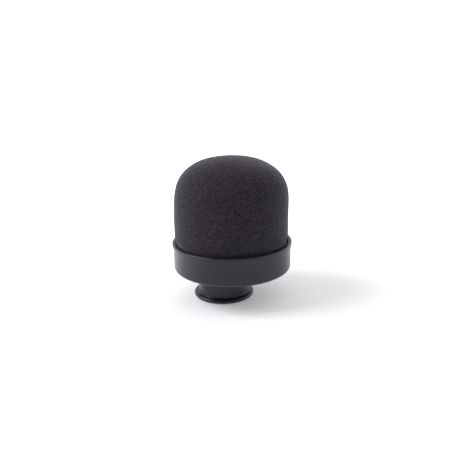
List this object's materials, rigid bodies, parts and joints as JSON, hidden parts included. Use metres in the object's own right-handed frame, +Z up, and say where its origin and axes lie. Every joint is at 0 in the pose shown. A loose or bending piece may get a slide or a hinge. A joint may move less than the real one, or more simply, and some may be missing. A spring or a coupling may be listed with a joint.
{
  "type": "pneumatic muffler",
  "caption": "Foam-dome exhaust muffler in a shallow round plastic cup on an eccentric lipped push-in neck, with slotted cage, perforated diffuser tube and absorber sleeve inside.",
  "frame": {"origin": "on the cup's axis, in the plane of the neck lip's underside, which is the centre of the bottom of the bounding box", "axes": "+Z up along the cup's axis from the neck lip towards the foam crown; the neck's own axis is parallel to it, 3.8 mm to the -X side"},
  "size_m": [0.05, 0.05, 0.0594],
  "materials": {
    "black_plastic": "satin",
    "foam": "matte",
    "rubber": "matte",
    "acetal": "satin",
    "spring_steel": "satin",
    "aluminium": "satin",
    "felt": "matte"
  },
  "bodies": {
    "spigot": {"connector_spigot": "black_plastic", "spigot_seal_ring": "rubber", "spigot_retaining_clip": "spring_steel", "diffuser_tube": "aluminium", "diffuser_end_cap": "black_plastic", "wire_mesh_screen": "spring_steel", "absorber_sleeve": "felt"},
    "cup": {"cup_housing": "black_plastic", "spigot_thrust_washer": "acetal", "support_cage": "black_plastic", "cage_screw_1": "spring_steel", "cage_screw_2": "spring_steel", "cage_screw_3": "spring_steel"},
    "foam": {"foam_dome": "foam"}
  },
  "joints": [
    {"name": "cup_swivel", "type": "hinge", "parent": "spigot", "child": "cup", "pos_m": [-0.0038, 0, 0.0137], "axis": [0, 0, 1], "continuous": true},
    {"name": "foam_pull_off", "type": "slide", "parent": "cup", "child": "foam", "axis": [0, 0, 1], "range_m": [0, 0.045]}
  ]
}
